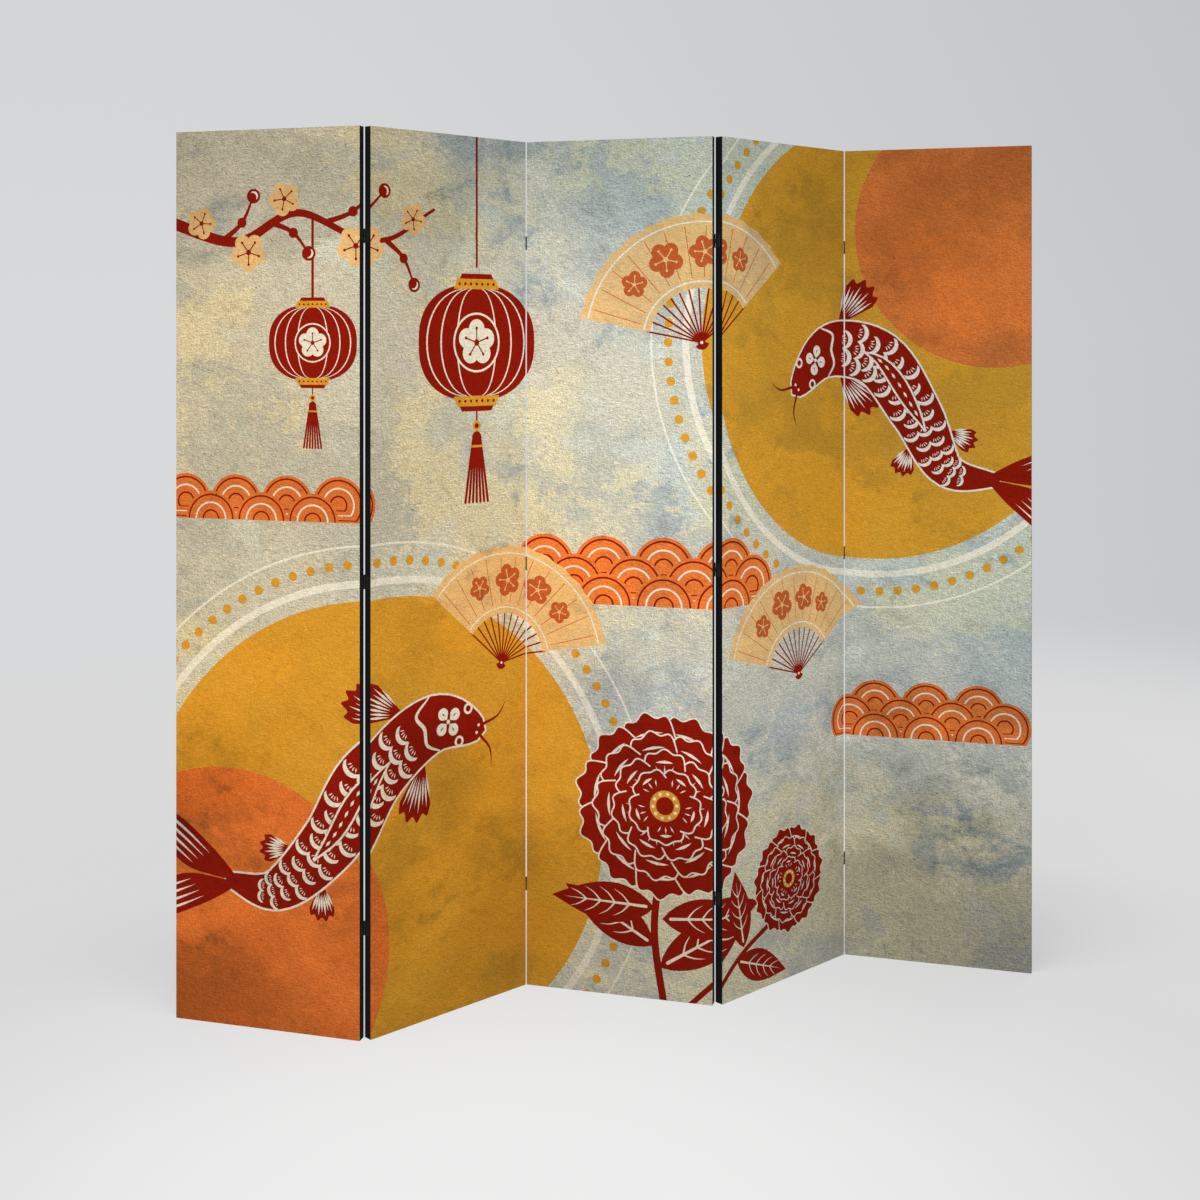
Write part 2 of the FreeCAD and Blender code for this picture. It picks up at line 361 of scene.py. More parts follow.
def lantern(width):
    """Paper lantern with ribs, a round badge, caps and a tassel. The origin is its middle."""
    height = width * 0.8

    def bulge(value, power):
        return math.copysign(abs(value) ** power, value)

    body = [complex(width / 2 * bulge(turned(angle).real, 0.85), height / 2 * bulge(turned(angle).imag, 0.8))
            for angle in range(0, 360, 6)]
    motif = [(RED, body)]
    for share in (-0.86, -0.62, -0.34, 0.34, 0.62, 0.86):
        rib = [complex(width / 2 * share * turned(angle).real ** 0.75, height / 2 * 0.93 * turned(angle).imag)
               for angle in range(-80, 81, 8)]
        motif.append((CREAM, stroke(rib, width * 0.013, lambda t: 0.35 + 0.65 * spindle(t))))
    motif += [(CREAM, circle(0, width * 0.205)), (RED, circle(0, width * 0.19))] + blossom(width * 0.165)
    caps = ((GOLD, 0.2, 0.17, -0.035, 0.035), (RED, 0.15, 0.13, 0.035, 0.07))
    for side in (1, -1):
        for ink, wide, narrow, low, high in caps:
            corners = ((-wide, low), (wide, low), (narrow, high), (-narrow, high))
            motif.append((ink, [complex(x * width, (height / 2 + y * width) * side) for x, y in corners]))
        motif += [(RED, circle(complex(x * width, height / 2 * side), width * 0.011))
                  for x in evenly(-0.15, 0.15, 6)]
    return motif + placed(tassel(width), -1j * (height / 2 + width * 0.07))


def hand_fan(radius):
    """Open folding fan. The origin is its pivot and it opens upwards."""
    inner, start, end, folds = radius * 0.42, 25, 155, 12
    ridges = evenly(start, end, folds * 2)
    motif = [(RED, stroke([polar(-radius * 0.05, a), polar(inner * 1.05, a)], radius * 0.014))
             for a in ridges[::2]]
    rim = [polar(radius * (0.985 if i % 2 else 1), a) for i, a in enumerate(ridges)]
    motif.append((APRICOT, rim + arc(0, inner, end, start)))
    for reach, margin in ((radius * 0.93, 1), (inner * 1.12, 2)):
        motif.append((CREAM, stroke(arc(0, reach, start + margin, end - margin), radius * 0.012)))
    motif += [(RUST, stroke([polar(inner * 1.2, a), polar(radius * 0.9, a)], radius * 0.006))
              for a in ridges[1::2]]
    for a, size in ((52, 0.1), (74, 0.13), (100, 0.145), (126, 0.11)):
        motif += placed(blossom(radius * size, RUST, APRICOT), polar(radius * 0.7, a), turned(a))
    return motif + [(RED, circle(0, radius * 0.03)), (CREAM, circle(0, radius * 0.012))]


def waves(radius, rows):
    """Cluster of overlapping wave scales, the nearest row in front. rows gives the scales in each row."""
    bands = ((ORANGE, 1), (RED, 0.9), (ORANGE, 0.84), (CREAM, 0.62), (ORANGE, 0.56), (RED, 0.34),
             (ORANGE, 0.28))
    hidden = 38
    row_height = radius * math.sin(math.radians(hidden))
    motif = []
    for row, count in enumerate(rows):
        dip = 0 if row == len(rows) - 1 else hidden
        for i in range(count):
            centre = complex((i - (count - 1) / 2) * radius * 2, -row * row_height)
            motif += [(ink, arc(centre, radius * share, -dip, 180 + dip)) for ink, share in bands]
    return motif


def branch(points, thickness, sprigs, flowers):
    """Plum branch: a tapering limb with twigs, buds and blossoms, each at a share of its length."""
    limb = smooth(points, 10)
    headings = directions(limb)
    last = len(limb) - 1
    motif = [(RED, stroke(limb, thickness, lambda t: 1 - 0.75 * t))]
    for share, lean, length in sprigs:
        root, out = limb[int(share * last)], headings[int(share * last)] * turned(lean)
        twig = smooth([root, root + out * length * 0.5, root + out * turned(lean * 0.25) * length], 6)
        motif += [(RED, stroke(twig, thickness * 0.5, lambda t: 1 - 0.7 * t)),
                  (RED, circle(twig[len(twig) // 2], thickness * 0.42)),
                  (RED, circle(twig[-1], thickness * 0.6))]
        motif += placed(lune(thickness * 0.4), twig[-1], out)
    for share, offset, size in flowers:
        motif += placed(blossom(size, APRICOT), limb[int(share * last)] + offset, turned(360 * share))
    return motif


def sun(radius, ink):
    """Plain disc."""
    return [(ink, circle(0, radius))]


def beaded_sun(radius):
    """Gold disc inside a cream ring, a ring of beads and a fine outer ring."""
    motif = [(CREAM, closed_stroke(circle(0, radius + distance), width))
             for distance, width in ((0.096, 0.004), (0.03, 0.013))]
    bead_ring, bead_pitch, bead_radius = radius + 0.064, 0.036, 0.0085
    beads = round(2 * math.pi * bead_ring / bead_pitch)
    return motif + dots(GOLD, bead_ring, beads, bead_radius) + sun(radius, GOLD)


def artwork():
    """The whole print, from the lowest layer to the highest, placed from the sheet's lower left corner."""
    string = 0.005
    # Each row gives a motif, its place and its turn
    layout = (
        (beaded_sun(0.47), 0.40 + 0.30j, 0), (sun(0.30, ORANGE), 0.10 + 0.16j, 0),
        (beaded_sun(0.43), 1.49 + 1.22j, 0), (sun(0.27, ORANGE), 1.73 + 1.44j, 0),
        (waves(0.058, (4, 5, 4)), 0.93 + 0.80j, 0), (waves(0.05, (3, 4, 3)), 1.60 + 0.50j, 0),
        (waves(0.05, (4, 3)), 0.17 + 0.935j, 0),
        (hand_fan(0.24), 1.06 + 1.22j, 14), (hand_fan(0.22), 0.66 + 0.62j, -16),
        (hand_fan(0.21), 1.30 + 0.58j, 10),
        ([(RED, stroke([0.27 + 1.445j, 0.27 + 1.30j], string))], 0, 0),
        (branch([-0.02 + 1.44j, 0.12 + 1.40j, 0.24 + 1.45j, 0.38 + 1.40j, 0.5 + 1.46j], 0.022,
                ((0.22, 50, 0.1), (0.4, -55, 0.09), (0.6, 46, 0.11), (0.78, -50, 0.1)),
                ((0.14, 0.02j, 0.03), (0.3, -0.025j, 0.036), (0.47, 0.03j, 0.032), (0.7, -0.015j, 0.038),
                 (0.92, 0.01j, 0.03))), 0, 0),
        ([(RED, stroke([0.60 + 1.64j, 0.60 + 1.36j], string))], 0, 0),
        (lantern(0.27), 0.60 + 1.22j, 0), (lantern(0.17), 0.27 + 1.22j, 0),
        (Carp([0.62 + 0.50j, 0.50 + 0.53j, 0.38 + 0.46j, 0.30 + 0.34j, 0.20 + 0.25j, 0.10 + 0.26j],
              0.105).motif(), 0, 0),
        (Carp([1.28 + 1.12j, 1.38 + 1.20j, 1.50 + 1.19j, 1.58 + 1.08j, 1.64 + 0.97j, 1.74 + 0.95j],
              0.1).motif(), 0, 0),
        ([(RED, stroke(smooth([0.99 - 0.02j, 0.97 + 0.12j, 0.98 + 0.24j]), 0.014))], 0, 0),
        (leaf(0.2, 0.075), 0.97 + 0.10j, 150), (leaf(0.22, 0.075), 0.98 + 0.06j, 32),
        (leaf(0.2, 0.075), 0.97 + 0.17j, 178), (leaf(0.2, 0.075), 0.985 + 0.15j, 5),
        (bloom(0.17), 0.99 + 0.36j, 5),
        ([(RED, stroke(smooth([1.02 - 0.02j, 1.12 + 0.07j, 1.22 + 0.12j]), 0.01))], 0, 0),
        (leaf(0.15, 0.06), 1.12 + 0.07j, -20), (leaf(0.15, 0.06), 1.14 + 0.09j, 100),
        (bloom(0.10), 1.27 + 0.19j, 40),
    )
    return [layer for motif, at, angle in layout for layer in placed(motif, at, turned(angle))]


def winding_inside(points, outline):
    """True for each of many points that lies inside an outline, by winding number."""
    x, y = points.real, points.imag
    turns = np.zeros(len(points), dtype=int)
    for a, b in sides(outline):
        side = (b.real - a.real) * (y - a.imag) - (b.imag - a.imag) * (x - a.real)
        turns += (a.imag <= y) & (b.imag > y) & (side > 0)
        turns -= (a.imag > y) & (b.imag <= y) & (side < 0)
    return turns != 0


def cut_faces(shapes, left, right, low, high):
    """Triangles that fill a rectangle of the print and follow every outline, with the ink of each."""
    corners = []
    links = []

    def follow(outline):
        for a, b in sides(outline):
            beside = max(a.real, b.real) < left or min(a.real, b.real) > right
            beyond = max(a.imag, b.imag) < low or min(a.imag, b.imag) > high
            if not beside and not beyond and abs(b - a) > join_tolerance:
                links.append((len(corners), len(corners) + 1))
                corners.extend((Vector((a.real, a.imag)), Vector((b.real, b.imag))))

    follow([complex(left, low), complex(right, low), complex(right, high), complex(left, high)])
    for _, outline in shapes:
        follow(outline)
    spots, _, triangles, *_ = delaunay_2d_cdt(corners, links, [], 0, join_tolerance)
    spots = np.array([complex(*spot) for spot in spots])
    triangles = np.array([list(triangle) for triangle in triangles])
    middles = spots[triangles].mean(1)
    within = (middles.real > left) & (middles.real < right) & (middles.imag > low) & (middles.imag < high)
    triangles, middles = triangles[within], middles[within]
    inks = np.full(len(middles), PAPER)
    for ink, outline in shapes:
        outline_points = np.array(outline)
        across, up = outline_points.real, outline_points.imag
        near = np.where((middles.real > across.min()) & (middles.real < across.max())
                        & (middles.imag > up.min()) & (middles.imag < up.max()))[0]
        if len(near):
            inks[near[winding_inside(middles[near], outline)]] = ink
    return spots, triangles, inks


class Number:
    """A value in a material, on which Python's arithmetic adds Math nodes."""

    def __init__(self, shader, socket):
        self.shader = shader
        self.socket = socket

    def math(self, operation, *values):
        node = self.shader.node("ShaderNodeMath", {"operation": operation}, dict(enumerate(values)))
        return Number(self.shader, node.outputs[0])

    def __add__(self, other):
        return self.math("ADD", self, other)

    __radd__ = __add__

    def __mul__(self, other):
        return self.math("MULTIPLY", self, other)

    __rmul__ = __mul__

    def __sub__(self, other):
        return self.math("SUBTRACT", self, other)

    def __rsub__(self, other):
        return self.math("SUBTRACT", other, self)

    def __abs__(self):
        return self.math("ABSOLUTE", self)

    def sine(self):
        return self.math("SINE", self)

    def at_least(self, other):
        return self.math("MAXIMUM", self, other)

    def above(self, edge, softness):
        """0 below an edge and 1 above it, with a soft step."""
        node = self.shader.node("ShaderNodeMapRange", {"interpolation_type": "SMOOTHSTEP"},
                                {"Value": self, "From Min": edge - softness, "From Max": edge + softness})
        return Number(self.shader, node.outputs["Result"])


class Shader:
    """A material or world whose nodes are added by plain calls."""

    def __init__(self, owner, **finish):
        if isinstance(owner, str):
            owner = bpy.data.materials.new(owner)
        self.material = owner
        owner.use_nodes = True
        self.tree = owner.node_tree
        self.surface = self.tree.nodes.get("Principled BSDF") or self.tree.nodes["Background"]
        for socket, value in finish.items():
            self.surface.inputs[socket.replace("_", " ")].default_value = value

    def node(self, kind, settings=None, inputs=None):
        """Adds a node, its settings first and then the values or links of its sockets."""
        node = self.tree.nodes.new(kind)
        for name, value in (settings or {}).items():
            if name == "stops":
                self.set_stops(node.color_ramp, value)
            else:
                setattr(node, name, value)
        for name, value in (inputs or {}).items():
            self.feed(node.inputs[name], value)
        return node

    def set_stops(self, ramp, stops):
        ramp.interpolation = "CONSTANT"
        while len(ramp.elements) < len(stops):
            ramp.elements.new(1)
        for element, (position, colour) in zip(ramp.elements, stops):
            element.position = position
            element.color = colour

    def feed(self, socket, value):
        value = getattr(value, "socket", value)
        if isinstance(value, bpy.types.NodeSocket):
            self.tree.links.new(value, socket)
        else:
            socket.default_value = value

    def output(self, name, value):
        """Feeds one of the surface's own sockets."""
        self.feed(self.surface.inputs[name], value)

    def number(self, socket):
        return Number(self, socket)

    def vector_math(self, operation, *values):
        return self.node("ShaderNodeVectorMath", {"operation": operation}, dict(enumerate(values))).outputs

    def noise(self, place, size, detail, roughness, distortion=0.0, shift=(0, 0, 0)):
        """Noise from 0 to 1. Its size is a scale, or a scale along each axis for noise that is drawn out."""
        if isinstance(size, tuple):
            place, size = self.vector_math("MULTIPLY_ADD", place, size, shift)[0], 1.0
        node = self.node("ShaderNodeTexNoise", None, {"Vector": place, "Scale": size, "Detail": detail,
                                                      "Roughness": roughness, "Distortion": distortion})
        return Number(self, node.outputs[0])

    def mix(self, factor, first, second, blend="MIX"):
        """Colour mix. Colours are sockets or four numbers."""
        node = self.node("ShaderNodeMix", {"data_type": "RGBA", "blend_type": blend},
                         {0: factor, 6: first, 7: second})
        return node.outputs[2]

    def tinted(self, colour, value):
        """A colour made lighter or darker by a value near 1."""
        node = self.node("ShaderNodeVectorMath", {"operation": "SCALE"}, {0: colour, "Scale": value})
        return node.outputs[0]

    def grey(self, value):
        """A value as a grey colour."""
        return self.node("ShaderNodeCombineColor", None, {0: value, 1: value, 2: value}).outputs[0]

    def steps(self, value, colours):
        """One of several colours, by a value that is the number of the colour."""
        count = len(colours)
        stops = [(i / count, tuple(colour) + (1.0,)) for i, colour in enumerate(colours)]
        return self.node("ShaderNodeValToRGB", {"stops": stops}, {0: (value + 0.5) * (1 / count)}).outputs[0]

    def parts(self, colour):
        """A colour's or vector's three parts as numbers."""
        node = self.node("ShaderNodeSeparateXYZ", None, {0: colour})
        return [Number(self, socket) for socket in node.outputs]

    def joined(self, parts):
        """Three numbers as a vector."""
        return self.node("ShaderNodeCombineXYZ", None, dict(enumerate(parts))).outputs[0]

    def finished(self, colour, roughness, height, strength, distance):
        """The material with its colour, its roughness and the relief of its surface."""
        bump = {"Height": height, "Strength": strength, "Distance": distance}
        self.output("Base Color", colour)
        self.output("Roughness", roughness)
        self.output("Normal", self.node("ShaderNodeBump", None, bump).outputs[0])
        return self.material

    def place(self):
        """Where a point is on the object, in metres."""
        return self.node("ShaderNodeTexCoord").outputs["Object"]

    def flat_place(self):
        """Where a point is on its flat sheet, in metres."""
        return self.node("ShaderNodeUVMap", {"uv_map": sheet_map}).outputs[0]


def linear(*shade):
    """A display colour, from 0 to 255, as the renderer's linear colour."""
    return tuple(((c / 255 + 0.055) / 1.055) ** 2.4 if c > 10 else c / 255 / 12.92 for c in shade)


def paper_stains(shader, sheet, mottle):
    """Patches of several tones whose edges break up into islands, and the drift that moves age marks."""
    blots = shader.noise(sheet, (11, 14, 1), 5, 0.72, 0.6, (2, 7, 0))
    grains = (mottle - 0.5) * 0.22 + (blots - 0.5) * 0.3

    def patches(size, shift):
        return shader.noise(sheet, size, 6, 0.6, 0.4, shift) + grains

    grey = patches((2.4, 3.0, 1), (3, 8, 0))
    warm = patches((2.2, 2.8, 1), (7, 1, 0))
    cool = patches((1.7, 2.2, 1), (1, 5, 0))
    pale = patches((4.5, 5.5, 1), (5, 2, 0))
    tone = shader.mix(grey.above(0.5, 0.035) * 0.8, (1, 1, 1, 1), (0.83, 0.88, 0.96, 1))
    tone = shader.mix(warm.above(0.54, 0.035), tone, (1.2, 1.155, 1.0, 1))
    tone = shader.mix(cool.above(0.58, 0.04) * 0.8, tone, (0.67, 0.78, 1.0, 1))
    tone = shader.mix(pale.above(0.6, 0.04) * 0.7, tone, (1.07, 1.16, 1.26, 1))
    tone = shader.tinted(tone, 1 - (mottle * 0.4 + blots * 0.6).above(0.57, 0.04) * 0.14)

    # Yellowed towards the left end of the print and greyer towards its upper right corner
    across, up, _ = shader.parts(sheet)
    drift = (warm + grey - 1) * 0.9
    tone = shader.mix((0.75 - across + drift).above(0.2, 0.55), tone, (0.93, 0.82, 0.67, 1), "MULTIPLY")
    tone = shader.mix((across + up + drift).above(2.15, 0.4), tone, (0.7, 0.82, 0.95, 1), "MULTIPLY")
    return tone, drift


def paper_age_and_highlight(shader, sheet, drift):
    """Darker towards the foot and the head of the print, most of all at its corners, with a painted highlight
    that makes it palest in the middle.
    """
    across, up, _ = shader.parts(sheet)
    foot = (drift - up).above(-0.36, 0.34) * 0.5
    head = (up + drift).above(1.46, 0.26) * 0.28
    ends = ((across - 0.75) * (across - 0.75) + drift * 0.4).above(0.5, 0.34)
    # Painted highlight: the print is lighter round the upper middle of the middle panel
    aside, aloft = across - 0.9, up - 1.22
    middle = 1 - (aside * aside + aloft * aloft * 0.7).above(0.08, 0.08)
    return 1.25 + middle * 0.17 - (foot + head) * (1 + ends * 0.35) - ends * 0.08


def printed_canvas(colours):
    """Printed canvas: inks over stained, crinkled fibre paper, with the canvas's weave in relief."""
    shader = Shader("printed canvas", Specular_IOR_Level=0.05)
    sheet = shader.flat_place()
    ink = shader.number(shader.node("ShaderNodeAttribute", {"attribute_name": ink_attribute}).outputs["Fac"])
    colour = shader.steps(ink, (colours.paper, colours.red, colours.gold, colours.orange, colours.apricot,
                                colours.cream, colours.rust))
    # How far the paper's stains and its fibres show through each ink
    shows = ((1.0, 1.0), (0.5, 0.6), (0.65, 0.6), (0.85, 0.75), (0.6, 0.6), (0.5, 0.6), (0.5, 0.6))
    stain_share, fibre_share, _ = shader.parts(shader.steps(ink, [pair + (0,) for pair in shows]))

    mottle = shader.noise(sheet, 42, 5, 0.75)
    tone, drift = paper_stains(shader, sheet, mottle)

    # Creases lit from above: thin ridges less the same ridges a little further down
    def creases(shift):
        field = shader.noise(sheet, (76, 118, 1), 3, 0.6, 1.8, shift) - 0.5
        return (1 - abs(field) * 9).at_least(0)

    crease = creases((0, 0, 0))
    fibres = shader.noise(sheet, (80, 340, 1), 2, 0.8, 0.8, (4, 4, 0))
    cross_fibres = shader.noise(sheet, (340, 110, 1), 2, 0.8, 0.8, (9, 2, 0))
    fine = (creases((0.08, 0.18, 0)) * 0.33 - crease * 0.4 + (fibres - 0.5) + (cross_fibres - 0.5) * 0.9
            + (mottle - 0.5) * 0.4)

    # Dark specks, a few of them large
    specks = shader.node("ShaderNodeTexVoronoi", {"voronoi_dimensions": "2D"},
                         {"Vector": sheet, "Scale": 24.0})
    chosen = shader.parts(specks.outputs["Color"])[0].above(0.82, 0.02)
    speck = 1 - shader.number(specks.outputs["Distance"]).above(0.035, 0.02)
    fine = fine - speck * chosen * 0.5

    colour = shader.mix(stain_share, colour, tone, "MULTIPLY")
    colour = shader.tinted(colour, (1 + fine * fibre_share) * paper_age_and_highlight(shader, sheet, drift))
    threads = shader.vector_math("MULTIPLY", sheet, (2 * math.pi / colours.thread_pitch,) * 3)[0]
    warp, weft, _ = shader.parts(threads)
    height = crease * 0.5 + warp.sine() * weft.sine() * 0.08
    return shader.finished(colour, 0.8 + (fibres - 0.5) * 0.3, height, 0.4, 0.0005)


def edging_cloth():
    """Black felted cloth of the edge strips, pressed flat, with loose fibres."""
    shader = Shader("black edging cloth", Specular_IOR_Level=0.08, Sheen_Weight=0.02)
    place = shader.place()
    fibres = shader.noise(place, 900, 4, 0.7, 1.5)
    blotches = shader.noise(place, 22, 4, 0.6)
    lint = shader.noise(place, 240, 3, 0.5).above(0.7, 0.03)
    base = shader.tinted((0.0075, 0.0078, 0.0092), 0.45 + fibres * 0.8 + blotches * 0.3)
    colour = shader.mix(lint * 0.4, base, (0.03, 0.03, 0.033, 1))
    return shader.finished(colour, 0.86 + fibres * 0.12, fibres * 0.8 + blotches * 0.5, 0.5, 0.0003)


def backing_cloth(sizes):
    """Thin black non-woven backing: clouded fibres, a fine pressed grid, lint, dust and slack wrinkles."""
    shader = Shader("black backing cloth", Specular_IOR_Level=0.45, Sheen_Weight=0.06)
    sheet = shader.flat_place()
    across, up, _ = shader.parts(sheet)
    clouds = shader.noise(sheet, 70, 5, 0.72, 0.6)
    long_fibres = shader.noise(sheet, (900, 240, 1), 3, 0.7, 1.8)
    slack = shader.noise(sheet, (5.0, 1.6, 1), 3, 0.5, 0.9)
    tension = shader.noise(sheet, (14, 26, 1), 2, 0.5, 0.5, (3, 1, 0))
    lint = shader.noise(sheet, (420, 90, 1), 3, 0.5, 2.0, (5, 5, 0)).above(0.71, 0.02)
    dust = shader.noise(sheet, 3.2, 5, 0.6).above(0.55, 0.12)
    base = shader.tinted((0.0125, 0.0127, 0.0138), 0.3 + clouds * 1.1 + long_fibres * 0.3)
    base = shader.mix(dust * 0.16, base, (0.06, 0.057, 0.052, 1))
    colour = shader.mix(lint * 0.5, base, (0.075, 0.075, 0.08, 1))
    frequency = 2 * math.pi / sizes.backing_grid
    grid = ((across + up) * frequency).sine() * ((across - up) * frequency).sine()
    height = slack * 14 + tension * 2.4 + clouds * 0.4 + grid * 0.05
    return shader.finished(colour, 0.5 + clouds * 0.25 + dust * 0.1, height, 0.9, 0.003)


def pine(name, along):
    """Planed pine whose grain runs along one direction."""
    shader = Shader(name, Specular_IOR_Level=0.35)
    side = Vector((1, 0, 0)) if along.z > 0.5 else along.cross(upwards)
    place = shader.place()
    grained = shader.joined([
        shader.number(shader.vector_math("DOT_PRODUCT", place, tuple(direction))["Value"]) * scale
        for direction, scale in ((along, 3.0), (side, 90.0), (along.cross(side), 90.0))])
    rings = shader.noise(grained, 1.0, 3, 0.5)
    pores = shader.noise(grained, (4, 9, 9), 3, 0.6)
    bands = (rings * 34).sine()
    light, dark = linear(216, 176, 124) + (1,), linear(178, 128, 78) + (1,)
    colour = shader.tinted(shader.mix(bands.above(0.2, 0.7), light, dark), 0.86 + pores * 0.28)
    return shader.finished(colour, 0.5 + pores * 0.25, pores + bands * 0.2, 0.3, 0.0003)


def black_steel():
    """Thin black paint over small steel hinges and screws, worn here and there."""
    shader = Shader("black painted steel", Specular_IOR_Level=0.5)
    place = shader.place()
    speckle = shader.noise(place, 1400, 3, 0.6)
    wear = shader.noise(place, 420, 5, 0.65).above(0.66, 0.03)
    paint = shader.tinted((0.016, 0.016, 0.017), 0.7 + speckle * 0.6)
    colour = shader.mix(wear * 0.6, paint, (0.16, 0.155, 0.15, 1))
    shader.output("Metallic", wear * 0.8)
    return shader.finished(colour, 0.36 + speckle * 0.22, speckle - wear * 0.5, 0.3, 0.0001)


def zinc_wire():
    """Drawn and zinc-coated staple wire."""
    shader = Shader("zinc coated wire", Metallic=1.0)
    place = shader.place()
    tarnish = shader.noise(place, 300, 4, 0.6)
    drawn = shader.noise(place, (3000, 3000, 160), 2, 0.5)
    colour = shader.mix(tarnish, (0.42, 0.42, 0.41, 1), (0.7, 0.7, 0.68, 1))
    return shader.finished(colour, 0.26 + tarnish * 0.2 + drawn * 0.08, drawn, 0.2, 0.00005)


class Panel:
    """Where one panel stands and how large its pieces are, read from the CAD model."""

    def __init__(self, number):
        self.number = number
        self.body = "panel_{}".format(number)
        angle = -zigzag_angle if number % 2 else zigzag_angle
        self.across = Vector((math.cos(angle), math.sin(angle), 0))
        behind = Vector((-math.sin(angle), math.cos(angle), 0))
        left, right = self.span("print_sheet", self.across)
        front, print_back = self.span("print_sheet", behind)
        cloth_front, back = self.span("back_cloth", behind)
        self.width, self.height, self.depth = right - left, self.span("print_sheet", upwards)[1], back - front
        self.print_thickness, self.cloth_thickness = print_back - front, back - cloth_front
        self.opening_left = self.span("stile_left", self.across)[1] - left
        self.middle_rail = self.span("middle_rail", upwards)
        axes = Matrix((self.across, behind, upwards)).transposed().to_4x4()
        self.matrix = Matrix.Translation(left * self.across + front * behind) @ axes

    def node(self, piece):
        return "panel_{}_{}".format(self.number, piece)

    def span(self, piece, direction):
        """From where to where one of the panel's CAD pieces reaches along a direction."""
        reach = [vertex.co.dot(direction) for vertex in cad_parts[self.node(piece)].data.vertices]
        return min(reach), max(reach)

    def new_mesh(self, piece, build):
        """A built mesh, moved from the drawing's origin to the panel's lower front left corner."""
        mesh = bpy.data.meshes.new(self.node(piece))
        build.to_mesh(mesh)
        build.free()
        mesh.transform(self.matrix)
        return mesh


def map_flat(build, left):
    """Gives every face its place on the flat sheet, of which this part starts at the given distance."""
    layer = build.loops.layers.uv.new(sheet_map)
    for face in build.faces:
        for loop in face.loops:
            loop[layer].uv = (loop.vert.co.x + left, loop.vert.co.z)


def print_mesh(panel, shapes):
    """One panel's share of the print as a closed thin sheet whose front is cut along the inks."""
    left = (panel.number - 1) * panel.width
    spots, triangles, inks = cut_faces(shapes, left, left + panel.width, 0.0, panel.height)
    build = bmesh.new()
    ink_layer = build.faces.layers.float.new(ink_attribute)
    used = sorted(set(triangles.ravel()))
    corners = {i: build.verts.new((spots[i].real - left, 0, spots[i].imag)) for i in used}
    for triangle, ink in zip(triangles, inks):
        face = build.faces.new([corners[i] for i in triangle])
        face[ink_layer] = float(ink)
    bmesh.ops.recalc_face_normals(build, faces=build.faces)
    if sum(face.normal.y * face.calc_area() for face in build.faces) > 0:
        bmesh.ops.reverse_faces(build, faces=build.faces)
    # Walls round the sheet, each in the ink beside it, and the plain back, built in the same order each run
    rim = [edge.link_loops[0] for edge in build.edges if edge.is_boundary]
    thickness = Vector((0, panel.print_thickness, 0))
    back = {start.vert: build.verts.new(start.vert.co + thickness) for start in rim}
    for start in rim:
        here, there = start.vert, start.link_loop_next.vert
        wall = build.faces.new((there, here, back[here], back[there]))
        wall[ink_layer] = start.face[ink_layer]
    middle = complex(panel.width, panel.height) / 2
    build.faces.new(sorted(back.values(), reverse=True,
                           key=lambda corner: cmath.phase(complex(corner.co.x, corner.co.z) - middle)))
    map_flat(build, left)
    return panel.new_mesh("canvas", build)


def cloth_mesh(panel, slack):
    """Back cloth stretched over the battens, a little slack over the two openings of the frame."""
    columns, rows = 40, 160
    left, right = panel.opening_left, panel.width - panel.opening_left
    rail_low, rail_high = panel.middle_rail
    openings = ((panel.opening_left, rail_low), (rail_high, panel.height - panel.opening_left))

    def hollow(x, z):
        for low, high in openings:
            if left < x < right and low < z < high:
                across = math.sin(math.pi * (x - left) / (right - left))
                up = math.sin(math.pi * (z - low) / (high - low))
                return slack * across ** 0.7 * up ** 0.4
        return 0.0

    build = bmesh.new()
    outer, inner = ([[build.verts.new((x, panel.depth - hollow(x, z) - thickness, z))
                      for x in evenly(0, panel.width, columns)] for z in evenly(0, panel.height, rows)]
                    for thickness in (0, panel.cloth_thickness))
    for row in range(rows):
        for column in range(columns):
            for grid in (outer, inner):
                build.faces.new((grid[row][column], grid[row + 1][column],
                                 grid[row + 1][column + 1], grid[row][column + 1]))
    rim = ([(0, c) for c in range(columns)] + [(r, columns) for r in range(rows)]
           + [(rows, c) for c in range(columns, 0, -1)] + [(r, 0) for r in range(rows, 0, -1)])
    for (r0, c0), (r1, c1) in sides(rim):
        build.faces.new((outer[r0][c0], outer[r1][c1], inner[r1][c1], inner[r0][c0]))
    bmesh.ops.recalc_face_normals(build, faces=build.faces)
    flatness = 0.5
    for face in build.faces:
        face.smooth = abs(face.normal.y) > flatness
    map_flat(build, panel.number * panel.width)
    return panel.new_mesh("cover", build)


def edging_mesh(panel, skin, rounding):
    """Four strips of black cloth round the panel's edges, with softened long corners."""
    front, back = panel.print_thickness, panel.depth - panel.cloth_thickness
    width, height = panel.width, panel.height
    spans = (((0, front, 0), (skin, back, height)), ((width - skin, front, 0), (width, back, height)),
             ((skin, front, 0), (width - skin, back, skin)),
             ((skin, front, height - skin), (width - skin, back, height)))
    build = bmesh.new()
    for low, high in spans:
        corners = bmesh.ops.create_cube(build, size=1)["verts"]
        for corner in corners:
            corner.co = [(high if corner.co[i] > 0 else low)[i] for i in range(3)]
        edges = {edge for corner in corners for edge in corner.link_edges}
        bmesh.ops.bevel(build, geom=list(edges), offset=rounding, segments=2, profile=0.5, affect="EDGES")
    bmesh.ops.recalc_face_normals(build, faces=build.faces)
    return panel.new_mesh("edging", build)


def add_piece(name, mesh, material):
    """A new object from a mesh, with one material."""
    mesh.materials.append(material)
    piece = bpy.data.objects.new(name, mesh)
    bpy.context.scene.collection.objects.link(piece)
    return piece


